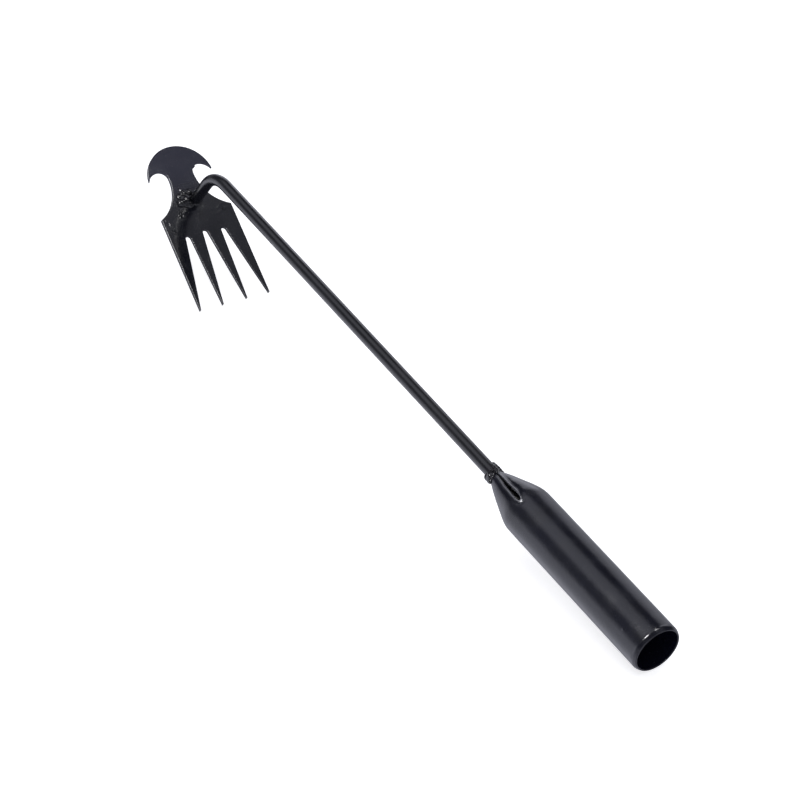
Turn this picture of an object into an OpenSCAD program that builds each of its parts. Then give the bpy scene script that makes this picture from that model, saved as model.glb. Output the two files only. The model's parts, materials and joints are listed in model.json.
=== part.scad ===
// Hand cultivator head: a flat steel plate with four pointed tines at one end and a crescent blade
// at the other, welded to a bent round bar whose far end carries a tubular socket for a pole.
// Millimetres. The tool lies on its tine tips and on the lower edge of the socket mouth.
// +X runs from the tines to the socket mouth, +Z is up, the origin is at the bottom centre.
// Each piece is drawn in the head frame first: x across the plate, y towards the blade,
// z along the plate's normal on the side of the bar, origin where the bar stands on the mid plane.

/* [Head plate] */
// Width over the outer tines
plate_width = 55; // [40:0.5:80]
// Sheet thickness
plate_thickness = 2.5; // [1.5:0.1:5]
// Distance from the bar's foot to the tine tips
tine_reach = 79.6; // [50:0.1:120]
// Distance from the bar's foot to the shoulder corners, towards the tines
shoulder_drop = 8.9; // [0:0.1:20]
// Width of each tine's point
tip_width = 0.6; // [0.2:0.1:3]
// Distance between the points of the two inner tines
inner_tip_spacing = 18.8; // [10:0.1:30]

/* [Slots between the tines] */
// Radius at the closed end of each slot
slot_radius = 2; // [1:0.1:4]
// Distance of the two outer slots' end centres from the middle
outer_slot_offset = 14.1; // [8:0.1:20]
// Distance from the bar's foot to the outer slots' end centres
outer_slot_start = 27; // [15:0.1:50]
// Distance from the bar's foot to the middle slot's end centre
middle_slot_start = 25.6; // [15:0.1:50]

/* [Crescent blade] */
// Radius of the cutting edge
blade_radius = 24.75; // [15:0.1:50]
// Distance from the bar's foot to the cutting edge's centre
blade_centre = 17.8; // [0:0.1:40]
// Half width of the waist at its narrowest
waist_half_width = 9.7; // [5:0.1:20]
// Radius of the long curve from the waist to the shoulder
waist_radius = 30.4; // [20:0.1:60]
// Distance from the bar's foot to the narrowest point of the waist
waist_height = 18.7; // [5:0.1:30]
// Radius of the hook where the waist turns under the horn
hook_radius = 6.4; // [3:0.1:12]
// Distance from the bar's foot to the hook's centre
hook_height = 19.4; // [5:0.1:30]
// Radius of the horn's inner curve
horn_radius = 9.5; // [5:0.1:20]
// Distance of the horn curve's centre from the middle
horn_offset = 15.8; // [8:0.1:25]
// Distance from the bar's foot to the horn curve's centre
horn_height = 16.3; // [5:0.1:30]
// Radius of the small nib that the cutter left in one hook
nib_radius = 1; // [0.5:0.1:3]
// Angle of the nib around the hook
nib_angle = 129; // [90:1:180]

/* [Bar] */
// Diameter of the round bar
bar_diameter = 8.4; // [6:0.1:14]
// Offset of the bar from the plate's middle
bar_offset = 3; // [-10:0.1:10]
// Height of the bend's corner above the plate's mid plane
corner_height = 42.1; // [20:0.1:80]
// Lean of the short leg from square to the plate, towards the tines
stem_lean = 1.2; // [-10:0.1:20]
// Centreline radius of the bend
bend_radius = 29; // [10:0.5:50]
// Radius that the bar loses through the bend
bend_thinning = 0.05; // [0.02:0.01:0.3]
// Angle between the long leg of the bar and the plate
rake_angle = 30.5; // [10:0.5:80]
// Distance from the bend's corner to the bar's end inside the socket
bar_length = 354; // [200:1:500]

/* [Socket] */
// Outside diameter of the socket tube
tube_diameter = 32; // [20:0.5:50]
// Wall thickness of the socket tube
tube_wall = 2; // [1:0.1:4]
// Distance from the bend's corner to the socket mouth
mouth_distance = 503.8; // [300:0.5:900]
// Distance from the bend's corner to the tips of the folded crown
crown_start = 344.6; // [200:0.5:800]
// Distance from the bend's corner to where the crown joins the straight tube
crown_end = 375.5; // [200:0.5:800]
// Radius of the crown's bulge, seen from the side
crown_bulge = 260; // [50:1:400]
// Outside radius at the tips of the crown
crown_tip_radius = 4.8; // [4.5:0.1:10]
// Radius of the rounded rim
rim_round = 0.4; // [0.2:0.1:1]
// Length of each open seam, from the crown's tips
seam_length = 33.5; // [10:0.5:40]
// Widest opening of each seam
seam_width = 3.4; // [1:0.1:8]
// Opening of each seam at the tips
seam_tip_width = 1.2; // [0.4:0.1:4]
// Width of the square end of each seam
seam_end_width = 1.6; // [0.5:0.1:4]
// Angle of the first seam from the top of the tube
seam_angle = 31; // [0:1:180]

/* [Weld at the head] */
// Main drop beside the bar: across, along, height of centre above the face, radius
head_drop_1 = [-4.6, 0.6, -1, 5.6]; // [-20:0.1:20]
// Drop at the outer end of the bead
head_drop_2 = [-8.6, -0.4, -0.6, 3.6]; // [-20:0.1:20]
// Drop on the blade side of the outer end
head_drop_3 = [-7.8, 4.2, -0.8, 3]; // [-20:0.1:20]
// Drop on the blade side of the bar
head_drop_4 = [-4, 5.8, -1.2, 3.4]; // [-20:0.1:20]
// Drop where the bead runs round the bar
head_drop_5 = [0.3, 6.2, -1.6, 3.2]; // [-20:0.1:20]
// Drop on the tine side of the bar
head_drop_6 = [-2.6, -2.6, -1, 3.6]; // [-20:0.1:20]
// Leg length of the thin fillet round the other side
fillet_leg = 1.8; // [0.5:0.1:5]
// Angle where the thin fillet starts, from the across direction
fillet_start = -150; // [-180:1:180]
// Angle the thin fillet covers
fillet_sweep = 262; // [30:1:300]

/* [Welds at the socket] */
// Angle of the upper bead from the top, away from the first seam
upper_bead_angle = 40; // [0:1:180]
// Distance from the bend's corner to the upper bead's start
upper_bead_start = 336; // [200:0.5:500]
// Length of the upper bead
upper_bead_length = 8; // [3:0.5:20]
// Radius of the upper bead's drops
upper_bead_radius = 1.9; // [1:0.1:5]
// Angle of the lower blob from the top, towards the first seam
lower_bead_angle = 105; // [0:1:180]
// Distance from the bend's corner to the lower blob's start
lower_bead_start = 340.5; // [200:0.5:500]
// Length of the lower blob
lower_bead_length = 4; // [1:0.5:20]
// Radius of the lower blob's drops
lower_bead_radius = 2.7; // [1:0.1:6]
// Number of drops in each bead
bead_drops = 4; // [2:1:8]
// Distance of the drops' centres from the bar's axis, as a share of its radius
bead_seat = 0.95; // [0.5:0.05:1.2]
// Share by which every second drop is smaller
bead_ripple = 0.09; // [0:0.01:0.3]

/* [Weld spatter] */
// Largest stray drop: across, along, radius
spatter_1 = [-11.3, -10.5, 2]; // [-40:0.1:40]
// Drop joined to the largest one
spatter_2 = [-12.8, -8.6, 1.3]; // [-40:0.1:40]
// Drop below the bar's foot
spatter_3 = [2.1, -11.1, 0.8]; // [-40:0.1:40]
// Drop near the far shoulder
spatter_4 = [20, -11.6, 1.2]; // [-40:0.1:40]
// Drop near the close edge
spatter_5 = [-22.8, -18.5, 0.8]; // [-40:0.1:40]
// Drop beside an inner tine
spatter_6 = [7.7, -27, 0.7]; // [-40:0.1:40]
// Share of each drop's radius by which its centre stands off the face
spatter_stand = 0.35; // [0:0.05:0.8]

/* [Hidden] */

// Facets of large round features and of small drops
fine = 96;
coarse = 48;
// Margin by which a cutting shape passes a face
past = 1;
// Angle by which the bend runs on inside each leg
bend_overlap = 2;
// Turn of each weld drop about its own centre, so that no two meet pole to pole
drop_turn = 17;
// Length by which the straight tube laps over the crown, so that the two meet in a clean step
crown_lap = 0.3;

half_width = plate_width / 2;
half_plate = plate_thickness / 2;
blade_top = blade_centre + blade_radius;
bar_radius = bar_diameter / 2;
tube_radius = tube_diameter / 2;
bore_radius = tube_radius - tube_wall;
lean = 90 - rake_angle;
bend_angle = lean - stem_lean;
bend_set_back = bend_radius * tan(bend_angle / 2);
stem_length = corner_height / cos(stem_lean);
corner_y = -corner_height * tan(stem_lean);
crown_length = crown_end - crown_start;
crown_drop = tube_radius - crown_tip_radius;
crown_chord = norm([crown_length, crown_drop]);
crown_rise = sqrt(crown_bulge * crown_bulge - crown_chord * crown_chord / 4);
crown_centre = [
    (tube_radius + crown_tip_radius) / 2 - crown_rise * crown_length / crown_chord,
    (crown_start + crown_end) / 2 + crown_rise * crown_drop / crown_chord
];

// Centre of the rim's lower rounding, in the head frame's (y, z) plane
rim_across = tube_radius - rim_round;
rim_along = mouth_distance - rim_round;
rim_y = corner_y - rim_along * cos(rake_angle) - rim_across * sin(rake_angle);
rim_z = corner_height + rim_along * sin(rake_angle) - rim_across * cos(rake_angle);
// Tilt that lays the tips' lower edges and the rim on one level surface
reach_y = -tine_reach - rim_y;
reach_z = rim_z + half_plate;
rest_tilt = atan2(reach_z, reach_y) - asin(rim_round / norm([reach_y, reach_z]));
shank_fall = rest_tilt - rake_angle;
floor_z = -tine_reach * sin(rest_tilt) - half_plate * cos(rest_tilt);
// Ends of the tool along X, in the tilted frame
end_low = -blade_top * cos(rest_tilt) - half_plate * sin(rest_tilt);
corner_x = corner_height * sin(rest_tilt) - corner_y * cos(rest_tilt);
end_high = corner_x + rim_along * cos(shank_fall) + rim_across * sin(shank_fall) + rim_round;

enamel = [0.09, 0.09, 0.1];
weld_enamel = [0.13, 0.13, 0.14];

// Places a shape drawn in the head frame into the resting pose
module at_rest() {
    translate([-(end_low + end_high) / 2, 0, -floor_z])
        rotate([0, rest_tilt, 0])
            rotate([0, 0, 90])
                children();
}

// Places a shape drawn along +Z from the bend's corner, with +Y on the upper side
module along_shank() {
    translate([bar_offset, corner_y, corner_height])
        rotate([lean, 0, 0])
            children();
}

// Wedge slot between two tines, closed end at the top
module slot(centre, start, left_tip, right_tip) {
    translate([centre, -start])
        circle(r = slot_radius, $fn = coarse);
    polygon([
        [centre - slot_radius, -start],
        [left_tip, -tine_reach - past],
        [right_tip, -tine_reach - past],
        [centre + slot_radius, -start]
    ]);
}

// The three slots that leave four tines
module slots() {
    outer = half_width - tip_width;
    inner = inner_tip_spacing / 2;
    slot(0, middle_slot_start, tip_width / 2 - inner, inner - tip_width / 2);
    slot(outer_slot_offset, outer_slot_start, inner + tip_width / 2, outer);
    slot(-outer_slot_offset, outer_slot_start, -outer, -inner - tip_width / 2);
}

// Opening between a horn and a shoulder, on the +X side
module side_notch() {
    waist_x = waist_half_width + waist_radius;
    hook_x = waist_half_width + hook_radius;
    intersection() {
        translate([waist_x, waist_height])
            circle(r = waist_radius, $fn = 2 * fine);
        translate([0, -waist_radius])
            square([waist_x, waist_radius + hook_height]);
    }
    translate([hook_x, hook_height])
        circle(r = hook_radius, $fn = fine);
    intersection() {
        translate([horn_offset, horn_height])
            circle(r = horn_radius, $fn = fine);
        translate([hook_x, hook_height - horn_radius])
            square([horn_radius * 2, horn_radius * 2]);
    }
}

// Blank of the plate before the slots and notches are cut
module plate_blank() {
    translate([0, blade_centre])
        circle(r = blade_radius, $fn = 2 * fine);
    translate([-half_width, -tine_reach])
        square([plate_width, tine_reach - shoulder_drop]);
    translate([-blade_radius, -shoulder_drop])
        square([2 * blade_radius, shoulder_drop + blade_centre]);
    translate([-half_width, -shoulder_drop - past])
        square([plate_width, past + shoulder_drop / 2]);
}

// Full outline of the plate
module plate_outline() {
    difference() {
        plate_blank();
        slots();
        side_notch();
        mirror([1, 0])
            side_notch();
    }
    translate([waist_half_width + hook_radius, hook_height])
        rotate(nib_angle)
            translate([hook_radius, 0])
                circle(r = nib_radius, $fn = coarse);
}

module plate_body() {
    translate([0, 0, -half_plate])
        linear_extrude(plate_thickness)
            plate_outline();
}

// Short leg and bend of the bar, before the foot is cut level with the plate's face
module stem_and_bend() {
    translate([bar_offset, 0, 0])
        rotate([stem_lean, 0, 0]) {
            cylinder(r = bar_radius, h = stem_length - bend_set_back, $fn = fine);
            translate([0, -bend_radius, stem_length - bend_set_back])
                rotate([90, 0, 90])
                    rotate([0, 0, -bend_overlap])
                        rotate_extrude(angle = bend_angle + 2 * bend_overlap, $fn = 4 * fine)
                            translate([bend_radius, 0])
                                circle(r = bar_radius - bend_thinning, $fn = fine);
        }
}

// Everything on the far side of the plate's face
module below_face() {
    translate([-plate_width, -plate_width, half_plate - plate_width])
        cube([2 * plate_width, 2 * plate_width, plate_width]);
}

// Bar: short leg up from the plate, bend, long leg into the socket
module bar_body() {
    difference() {
        stem_and_bend();
        below_face();
    }
    along_shank()
        translate([0, 0, bend_set_back])
            cylinder(r = bar_radius, h = bar_length - bend_set_back, $fn = fine);
}

// Half section of the tube at a given distance inside its outer surface
module tube_section(inset) {
    round_r = inset == 0 ? rim_round : 0;
    reach = inset == 0 ? mouth_distance : mouth_distance + past;
    start = crown_end - crown_lap;
    translate([0, start])
        square([tube_radius - inset, reach - start - round_r]);
    translate([0, start])
        square([tube_radius - inset - round_r, reach - start]);
    intersection() {
        translate(crown_centre)
            circle(r = crown_bulge - inset, $fn = 16 * fine);
        translate([0, crown_start])
            square([tube_radius, crown_length]);
    }
}

// Outline of one open seam, drawn with its length along +Y
module seam_outline() {
    widest = seam_length * 0.78;
    polygon([
        [-seam_tip_width / 2, -past],
        [seam_tip_width / 2, -past],
        [seam_width / 2, widest],
        [seam_end_width / 2, seam_length - seam_end_width / 2],
        [seam_end_width / 2, seam_length],
        [-seam_end_width / 2, seam_length],
        [-seam_end_width / 2, seam_length - seam_end_width / 2],
        [-seam_width / 2, widest]
    ]);
}

// Outer envelope of the socket, filled solid
module tube_envelope() {
    rotate_extrude($fn = fine)
        tube_section(0);
    rotate_extrude($fn = fine)
        translate([tube_radius - rim_round, mouth_distance - rim_round])
            circle(r = rim_round, $fn = coarse);
}

// Socket: straight tube, crown folded in to the bar, two open seams
module tube_body() {
    difference() {
        tube_envelope();
        rotate_extrude($fn = fine)
            tube_section(tube_wall);
        translate([0, 0, crown_start - past])
            cylinder(r = bar_radius, h = crown_length, $fn = fine);
        for (side = [0, 180])
            rotate([0, 0, 90 + seam_angle + side])
                translate([0, 0, crown_start])
                    rotate([90, 0, 90])
                        linear_extrude(tube_diameter)
                            seam_outline();
    }
}

// Raw drops of the head bead, before they are trimmed to the plate and bar
module head_drops() {
    for (drop = [head_drop_1, head_drop_2, head_drop_3, head_drop_4, head_drop_5, head_drop_6])
        translate([drop[0], drop[1], half_plate + drop[2]])
            rotate([drop_turn * drop[3], drop_turn * drop[0], 0])
                sphere(r = drop[3], $fn = coarse);
}

// Bead of overlapping drops along the bar, at an angle from the top
module bead_row(angle, start, length, radius) {
    along_shank()
        rotate([0, 0, 90 + angle])
            for (i = [0 : bead_drops - 1])
                translate([bar_radius * bead_seat, 0, start + length * i / (bead_drops - 1)])
                    rotate([drop_turn * (i + 1), drop_turn * i, 0])
                        sphere(r = radius * (1 - bead_ripple * (i % 2)), $fn = coarse);
}

module head_plate() {
    color(enamel)
        at_rest()
            plate_body();
}

module shank() {
    color(enamel)
        at_rest()
            bar_body();
}

module socket_tube() {
    color(enamel)
        at_rest()
            along_shank()
                tube_body();
}

// Lumpy bead on the near side of the bar's foot
module head_weld_bead() {
    color(weld_enamel)
        at_rest()
            difference() {
                head_drops();
                below_face();
                stem_and_bend();
            }
}

// Thin fillet round the rest of the bar's foot
module head_weld_fillet() {
    color(weld_enamel)
        at_rest()
            difference() {
                translate([bar_offset, 0, half_plate])
                    rotate([0, 0, fillet_start])
                        rotate_extrude(angle = fillet_sweep, $fn = fine)
                            polygon([
                                [bar_radius, 0],
                                [bar_radius + fillet_leg, 0],
                                [bar_radius, fillet_leg]
                            ]);
                stem_and_bend();
                head_drops();
            }
}

// Long bead on the upper far side of the crown's tips
module neck_weld_upper() {
    color(weld_enamel)
        at_rest()
            difference() {
                bead_row(-upper_bead_angle, upper_bead_start, upper_bead_length, upper_bead_radius);
                bar_body();
                along_shank()
                    tube_envelope();
            }
}

// Round blob on the near side of the crown's tips
module neck_weld_lower() {
    color(weld_enamel)
        at_rest()
            difference() {
                bead_row(lower_bead_angle, lower_bead_start, lower_bead_length, lower_bead_radius);
                bar_body();
                along_shank()
                    tube_envelope();
            }
}

// Stray drops of weld metal stuck to the plate
module weld_spatter() {
    color(weld_enamel)
        at_rest()
            difference() {
                for (drop = [spatter_1, spatter_2, spatter_3, spatter_4, spatter_5, spatter_6])
                    translate([drop[0], drop[1], half_plate + spatter_stand * drop[2]])
                        sphere(r = drop[2], $fn = coarse);
                plate_body();
            }
}

head_plate();
shank();
socket_tube();
head_weld_bead();
head_weld_fillet();
neck_weld_upper();
neck_weld_lower();
weld_spatter();
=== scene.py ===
"""Hand cultivator: black enamelled head plate, bent round bar, tubular pole socket and their welds.

Meshes are built in millimetres in one of two local frames and then moved to the row frame:
the head frame (u across the plate, v towards the blade, n along the plate's normal, origin where
the bar stands on the mid plane) and the bar frame (x across, y up, z along the bar, origin at the
bend's corner).
"""
import json
import math
import random

import bmesh
import bpy
import numpy as np
from mathutils import Matrix, Vector, noise
from mathutils.geometry import delaunay_2d_cdt


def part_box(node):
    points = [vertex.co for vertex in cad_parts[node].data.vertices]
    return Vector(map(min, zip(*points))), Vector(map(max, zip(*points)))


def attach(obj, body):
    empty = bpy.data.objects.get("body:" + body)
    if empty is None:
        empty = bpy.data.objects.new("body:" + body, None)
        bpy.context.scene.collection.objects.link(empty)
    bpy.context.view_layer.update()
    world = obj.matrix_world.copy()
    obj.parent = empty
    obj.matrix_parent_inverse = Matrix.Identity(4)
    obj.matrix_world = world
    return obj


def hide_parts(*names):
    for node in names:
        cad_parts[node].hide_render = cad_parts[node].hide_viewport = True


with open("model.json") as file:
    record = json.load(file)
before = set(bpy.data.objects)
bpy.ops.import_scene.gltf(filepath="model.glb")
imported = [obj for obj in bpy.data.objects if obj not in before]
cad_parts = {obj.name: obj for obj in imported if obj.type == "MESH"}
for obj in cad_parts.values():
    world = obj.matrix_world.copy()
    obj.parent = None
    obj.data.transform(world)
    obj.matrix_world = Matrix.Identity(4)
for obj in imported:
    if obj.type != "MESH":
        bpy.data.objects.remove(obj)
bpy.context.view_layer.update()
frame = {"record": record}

MM = 0.001
BODY = "root"
# Vertices closer than this, in metres, are the same vertex
SAME_PLACE = 2e-6

# Head plate, in the head frame; circles and arcs are (centre u, centre v, radius)
HALF_T = 1.25
# Distance from the bar's foot to the tine tips
REACH = 79.6
BLADE = (0.0, 17.8, 24.75)
HORN = (15.8, 16.3, 9.5)
HOOK = (16.1, 19.4, 6.4)
WAIST = (40.1, 18.7, 30.4)
SHOULDER = ((27.3, -8.93), (27.45, -9.05), (27.5, -9.3))
NIB_ANGLE, NIB_RADIUS = 129, 1.0
# Round tops of the slots between the tines
SIDE_SLOT, MID_SLOT = (14.1, -27.0, 2.0), (0.0, -25.6, 2.0)
# Right and left edge of the outer and of the inner tine, at the tip
TIP_EDGES = ((27.5, 26.7), (9.745, 8.971))
# Radius of the worn edge of the upper and of the lower face
TOP_ROUND, BACK_ROUND = 0.16, 0.14

# Bar, in the head frame up to the bend and in the bar frame after it
BAR_R = 4.18
BAR_U = 3.0
STEM_LEAN = math.radians(1.2)
RAKE = math.radians(30.5)
# Height of the bend's corner over the plate's mid plane
CORNER_N = 42.1
BEND_R = 29.0
BEND_ANGLE = math.pi / 2 - RAKE - STEM_LEAN
SET_BACK = BEND_R * math.tan(BEND_ANGLE / 2)
BAR_END = 354.0

# Socket tube, in the bar frame; stations are distances along the bar from the bend's corner
TUBE_R, WALL = 15.98, 2.0
CROWN_START, CROWN_END, MOUTH = 344.6, 375.5, 503.78
CROWN_TIP_R, CROWN_BULGE = 4.8, 260.0
# Station of the mount, which lies in the mouth of the CAD tube
MOUNT_STATION = 503.8
SEAM_ANGLE = 31.0
SEAM_END = 378.1
# Half width of the open seams at stations along them
SEAM_HALF = (
    (344.6, 0.35), (352.0, 0.6), (362.0, 0.95), (370.5, 1.3),
    (375.5, 1.2), (377.2, 0.9), (378.1, 0.3),
)
# How far the seams wander off a straight line, in degrees round the tube
SEAM_SWAY = ((344.6, -8.0), (350.0, -6.5), (359.6, 0.3), (369.6, 1.5), (377.5, 3.8), (520.0, 3.8))


def make_frame(x, y, z, origin):
    """Matrix that takes millimetres in a local frame to metres in the row frame."""
    columns = Matrix((x * MM, y * MM, z * MM)).transposed().to_4x4()
    columns.translation = origin
    return columns


socket = frame["record"]["mounts"][0]
axis = Vector(socket["axis"]).normalized()
tilt = math.asin(-axis.z) + RAKE
cos_t, sin_t = math.cos(tilt), math.sin(tilt)
plate_lo, plate_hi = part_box("head_plate")
blade_top = BLADE[1] + BLADE[2]
HEAD = make_frame(
    Vector((0, 1, 0)),
    Vector((-cos_t, 0, sin_t)),
    Vector((sin_t, 0, cos_t)),
    Vector((
        plate_lo.x + (blade_top * cos_t + HALF_T * sin_t) * MM,
        (plate_lo.y + plate_hi.y) / 2,
        plate_lo.z + (REACH * sin_t + HALF_T * cos_t) * MM,
    )),
)
BAR = make_frame(
    Vector((0, 1, 0)),
    Vector((-axis.z, 0, axis.x)),
    axis,
    Vector(socket["pos_m"]) - axis * (MOUNT_STATION * MM),
)


# ---------------------------------------------------------------- mesh helpers

def bump(point, scale, seed=0.0, octaves=3):
    """Smooth noise about 0 at a point in millimetres; scale is the number of waves per mm."""
    return noise.fractal(Vector(point) * scale + Vector((seed, seed, seed)), 1.0, 2.0, octaves)


def smooth_step(x):
    """Eases from 0 to 1 while x goes from 0 to 1."""
    x = min(1.0, max(0.0, x))
    return x * x * (3 - 2 * x)


def add_mesh(name, points, faces, matrix, sharp=None):
    """Smooth-shaded object from local millimetre points; edges sharper than sharp stay crisp."""
    mesh = bpy.data.meshes.new(name)
    mesh.from_pydata([matrix @ Vector(p) for p in points], [], faces)
    mesh.validate()
    return add_object(name, mesh, sharp)


def add_object(name, mesh, sharp=None):
    """Smooth-shaded object with a finished mesh."""
    mesh.shade_smooth()
    if sharp:
        mesh.set_sharp_from_angle(angle=math.radians(sharp))
    obj = bpy.data.objects.new(name, mesh)
    bpy.context.scene.collection.objects.link(obj)
    return obj


def add_values(obj, name, values):
    """Stores one number per vertex for the material to read."""
    layer = obj.data.attributes.new(name, "FLOAT", "POINT")
    layer.data.foreach_set("value", np.asarray(values, np.float32))


def clean(obj, merge=False):
    """Joins vertices that lie on each other, if merge is set, and turns every face outwards."""
    work = bmesh.new()
    work.from_mesh(obj.data)
    if merge:
        bmesh.ops.remove_doubles(work, verts=work.verts, dist=SAME_PLACE)
    bmesh.ops.recalc_face_normals(work, faces=work.faces)
    work.to_mesh(obj.data)
    work.free()


def stand_for(obj, node, material):
    """The piece takes the CAD node's place, its body and its finish."""
    obj.data.materials.clear()
    obj.data.materials.append(material)
    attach(obj, BODY)
    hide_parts(node)


def ring_faces(rows, columns, closed=True, start=0):
    """Quads over a grid of rows x columns; closed joins the last column to the first."""
    faces = []
    span = columns if closed else columns - 1
    for i in range(rows - 1):
        for j in range(span):
            a = start + i * columns + j
            b = start + i * columns + (j + 1) % columns
            faces.append((a, b, b + columns, a + columns))
    return faces


# ---------------------------------------------------------------- head plate

def arc(circle, start, end, step=0.8):
    """Points along an arc from start to end degrees, about step mm apart."""
    cx, cy, r = circle
    count = max(2, math.ceil(abs(math.radians(end - start)) * r / step) + 1)
    angles = np.radians(np.linspace(start, end, count))
    return [(cx + r * math.cos(a), cy + r * math.sin(a)) for a in angles]


def hook_arc(with_nib):
    """Hook under the horn, with the small nib that the cutter left on one side."""
    points = []
    for degrees in np.linspace(90, 180, 45):
        a = math.radians(degrees)
        off = HOOK[2] * (a - math.radians(NIB_ANGLE))
        nib = math.sqrt(max(0.0, NIB_RADIUS ** 2 - off ** 2)) if with_nib else 0.0
        r = HOOK[2] - nib
        points.append((HOOK[0] + r * math.cos(a), HOOK[1] + r * math.sin(a)))
    return points


def run(a, b, step=1.1):
    """Points strictly between two points, about step mm apart."""
    count = max(1, round(math.dist(a, b) / step))
    return [tuple(np.array(a) + (np.array(b) - np.array(a)) * i / count) for i in range(1, count)]


def tine_tip(right, left):
    """Blunt rounded end of a tine between two edges."""
    wide = right - left
    shares = ((0.0, 0.38), (0.08, 0.15), (0.28, 0.03), (0.55, 0.0), (0.78, 0.09), (0.94, 0.34))
    return [(right - wide * share, -REACH + lift) for share, lift in shares]


def half_outline(with_nib):
    """Right half of the plate's edge, from the blade's apex round to the middle slot's top."""
    outer, inner = TIP_EDGES
    outer_tip, inner_tip = tine_tip(*outer), tine_tip(*inner)
    slot_right = (SIDE_SLOT[0] + SIDE_SLOT[2], SIDE_SLOT[1])
    slot_left = (SIDE_SLOT[0] - SIDE_SLOT[2], SIDE_SLOT[1])
    mid_right = (MID_SLOT[2], MID_SLOT[1])
    return (
        arc(BLADE, 90, 5.4)
        + arc(HORN, 23, 88, 0.6)
        + hook_arc(with_nib)
        + arc(WAIST, 181.5, 244.8)
        + list(SHOULDER)
        + run(SHOULDER[-1], outer_tip[0])
        + outer_tip
        + run(outer_tip[-1], slot_right)
        + arc(SIDE_SLOT, 0, 180, 0.35)
        + run(slot_left, inner_tip[0])
        + inner_tip
        + run(inner_tip[-1], mid_right)
        + arc(MID_SLOT, 0, 90, 0.35)
    )


def plate_outline():
    """Closed outline of the plate; only the right hook has the nib."""
    right = half_outline(True)
    left = [(-u, v) for u, v in reversed(half_outline(False)[1:-1])]
    return np.array(right + left)


def edge_distance(points, outline):
    """Distance of each point from the outline."""
    a, b = outline, np.roll(outline, -1, axis=0)
    along = b - a
    length2 = (along ** 2).sum(1)
    best = np.full(len(points), 1e9)
    for start in range(0, len(points), 2000):
        p = points[start:start + 2000, None, :]
        t = np.clip(((p - a) * along).sum(2) / length2, 0, 1)
        gap = np.linalg.norm(p - (a + along * t[..., None]), axis=2)
        best[start:start + 2000] = gap.min(1)
    return best


def point_in_outline(points, outline):
    """Which of the points lie inside the outline, by counting the edges on one side of each."""
    inside = np.zeros(len(points), bool)
    a, b = outline, np.roll(outline, -1, axis=0)
    for (ax, ay), (bx, by) in zip(a, b):
        crosses = (ay > points[:, 1]) != (by > points[:, 1])
        if crosses.any():
            cut = (bx - ax) * (points[crosses, 1] - ay) / (by - ay) + ax
            inside[crosses] ^= points[crosses, 0] < cut
    return inside


def outline_normals(ring):
    """Outward unit normal at each point of an outline that runs clockwise from the blade."""
    along = np.roll(ring, -1, axis=0) - np.roll(ring, 1, axis=0)
    normal = np.stack([-along[:, 1], along[:, 0]], 1)
    return normal / np.linalg.norm(normal, axis=1)[:, None]


# Spacing of the plate's points along u and v, and their least distance from the edge
GRID_U, GRID_V, GRID_MARGIN = 1.5, 1.3, 0.85
# Patches that need finer triangles: centre, half size, spacing
FINE_PATCHES = (
    ((-24.0, -15.0), (4.0, 7.5), 0.34),
    ((17.5, -11.0), (9.5, 5.0), 0.42),
    ((-1.0, 0.5), (13.0, 12.5), 0.5),
)
# Rows of points that follow the edge, by their distance from it
EDGE_DEPTHS = (0.02, 0.08, 0.16, 0.4)


def interior_points(outline):
    """Coarse grid over the plate, finer grids over the patches, and rows that follow the edge."""
    points = []
    for row, v in enumerate(np.arange(-79, 42.5, GRID_V)):
        points += [(u + GRID_V / 2 * (row % 2), v) for u in np.arange(-27.3, 27.3, GRID_U)]
    for (cu, cv), (hu, hv), step in FINE_PATCHES:
        for row, v in enumerate(np.arange(cv - hv, cv + hv, step)):
            shift = step / 2 * (row % 2)
            points += [(u + shift, v) for u in np.arange(cu - hu, cu + hu, step)]
    inner = np.array(points)
    inner = inner[edge_distance(inner, outline) > GRID_MARGIN]
    rows = [inner[point_in_outline(inner, outline)]]
    for depth in EDGE_DEPTHS:
        row = outline - outline_normals(outline) * depth
        keep = edge_distance(row, outline) > depth * 0.93
        rows.append(row[keep & point_in_outline(row, outline)])
    return np.concatenate(rows)


# Runs and ripples in the enamel: points along each, height, half width
SAGS = (
    (((6.6, -6.4), (8.6, -9.2), (11.5, -10.0)), 0.07, 0.55),
    (((11.0, -13.6), (15.0, -14.1), (18.5, -12.8)), 0.06, 0.6),
    (((16.5, -9.8), (20.5, -7.4), (23.5, -7.6), (25.0, -9.0)), 0.08, 0.6),
    (((-4.6, 8.9), (0.0, 9.7), (4.8, 9.2)), 0.13, 0.85),
    (((-3.6, 20.9), (-1.4, 20.4)), 0.045, 0.7),
    (((-9.0, -7.6), (-3.5, -7.9), (1.5, -8.6)), 0.06, 0.7),
    (((-24.6, -10.6), (-22.9, -11.4), (-22.4, -13.6), (-23.3, -15.6)), 0.045, 0.8),
    (((-25.4, -12.4), (-25.2, -14.6), (-24.4, -16.6)), 0.02, 0.7),
    (((-22.8, -17.4), (-21.9, -18.6), (-22.2, -20.2)), 0.035, 0.6),
)
# Rough patches: centre, half size, height, waves per mm, seed
ROUGH = (
    ((-23.6, -14.8), (2.6, 6.0), 0.02, 0.3, 3.0),
    ((21.0, -11.3), (3.6, 2.2), 0.07, 0.4, 7.0),
    ((-2.5, 0.5), (10.5, 9.0), 0.03, 0.2, 11.0),
)


# The enamel's relief starts this far from the edge and is full this much further in
RELIEF_START, RELIEF_RUN = 0.5, 1.2
# Rows of points down the cut wall
WALL_ROWS = 4


def segment_gap(p, a, b):
    """Distance of a point from the segment a to b."""
    ax, ay = a
    dx, dy = b[0] - ax, b[1] - ay
    t = max(0.0, min(1.0, ((p[0] - ax) * dx + (p[1] - ay) * dy) / (dx * dx + dy * dy)))
    return math.hypot(p[0] - ax - dx * t, p[1] - ay - dy * t)


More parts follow.
